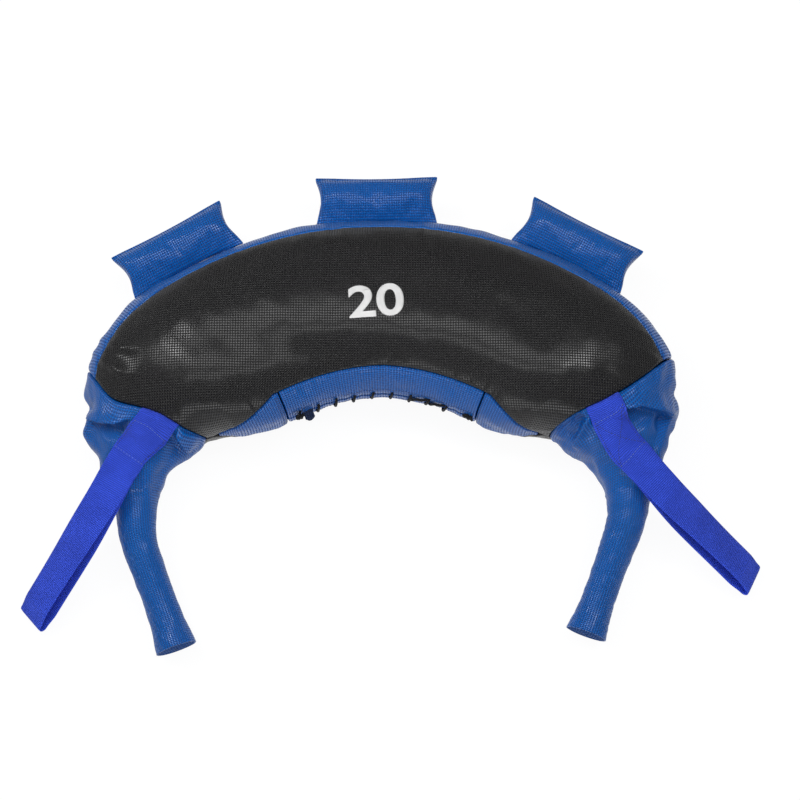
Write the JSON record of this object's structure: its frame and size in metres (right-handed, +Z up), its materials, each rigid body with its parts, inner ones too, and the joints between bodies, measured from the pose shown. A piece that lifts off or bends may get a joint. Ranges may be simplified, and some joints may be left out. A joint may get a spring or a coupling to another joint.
{
  "type": "weight bag",
  "caption": "Crescent training weight bag: stuffed two-colour body with laced filling slit, tapered ends that turn into handles, webbing loops over the ends and stuffed side grips.",
  "frame": {"origin": "on the floor under the middle of the bag, on the flat patch of the back panel", "axes": "+X to the right end along the crescent, +Y to its outer side, +Z up through the front panel"},
  "size_m": [0.8401, 0.5499, 0.1522],
  "materials": {
    "black_vinyl": "square-embossed coated fabric, satin",
    "blue_vinyl": "square-embossed coated fabric, satin",
    "blue_webbing": "ribbed flat webbing, matte",
    "black_cord": "braided, matte",
    "sand_pouch": "woven cloth filled with sand",
    "wadding": "packed fibre"
  },
  "bodies": {
    "bag": {"front_panel": "black_vinyl", "back_panel": "black_vinyl", "outer_gusset": "blue_vinyl", "left_inner_gusset": "blue_vinyl", "right_inner_gusset": "blue_vinyl", "front_inner_lip": "blue_vinyl", "back_inner_lip": "blue_vinyl", "lace": "black_cord", "fill_flap": "blue_vinyl", "sand_pouch_1": "sand_pouch", "sand_pouch_2": "sand_pouch", "sand_pouch_3": "sand_pouch", "sand_pouch_4": "sand_pouch", "sand_pouch_5": "sand_pouch", "left_end_sleeve": "blue_vinyl", "left_wadding": "wadding", "left_strap_anchor": "blue_webbing", "right_end_sleeve": "blue_vinyl", "right_wadding": "wadding", "right_strap_anchor": "blue_webbing"},
    "left_handle": {"left_handle_core": "wadding", "left_handle_cover": "blue_vinyl", "left_handle_cap": "blue_vinyl"},
    "left_strap": {"left_strap_loop": "blue_webbing"},
    "right_handle": {"right_handle_core": "wadding", "right_handle_cover": "blue_vinyl", "right_handle_cap": "blue_vinyl"},
    "right_strap": {"right_strap_loop": "blue_webbing"},
    "left_grip": {"left_grip_core": "wadding", "left_grip_cover": "blue_vinyl"},
    "centre_grip": {"centre_grip_core": "wadding", "centre_grip_cover": "blue_vinyl"},
    "right_grip": {"right_grip_core": "wadding", "right_grip_cover": "blue_vinyl"}
  },
  "joints": [
    {"name": "left_neck_flex", "type": "hinge", "parent": "bag", "child": "left_handle", "pos_m": [-0.27849, -0.21919, 0.055], "axis": [0, 0, 1], "range_deg": [-15, 15], "stiffness_Nm_per_rad": 3},
    {"name": "right_neck_flex", "type": "hinge", "parent": "bag", "child": "right_handle", "pos_m": [0.27849, -0.21919, 0.055], "axis": [0, 0, 1], "range_deg": [-15, 15], "stiffness_Nm_per_rad": 3},
    {"name": "left_strap_swing", "type": "hinge", "parent": "bag", "child": "left_strap", "pos_m": [-0.28336, -0.17947, 0.10274], "axis": [-0.8348, 0.5505, 0], "range_deg": [0, 120]},
    {"name": "right_strap_swing", "type": "hinge", "parent": "bag", "child": "right_strap", "pos_m": [0.28336, -0.17947, 0.10274], "axis": [-0.6769, -0.7361, 0], "range_deg": [0, 120]},
    {"name": "left_grip_tilt", "type": "hinge", "parent": "bag", "child": "left_grip", "pos_m": [-0.2234, 0.04766, 0.072], "axis": [0.8686, 0.4955, 0], "range_deg": [-30, 30], "stiffness_Nm_per_rad": 1},
    {"name": "centre_grip_tilt", "type": "hinge", "parent": "bag", "child": "centre_grip", "pos_m": [-0.00625, 0.10326, 0.072], "axis": [0.9999, 0.014, 0], "range_deg": [-30, 30], "stiffness_Nm_per_rad": 1},
    {"name": "right_grip_tilt", "type": "hinge", "parent": "bag", "child": "right_grip", "pos_m": [0.21296, 0.05317, 0.072], "axis": [0.8813, -0.4726, 0], "range_deg": [-30, 30], "stiffness_Nm_per_rad": 1}
  ]
}
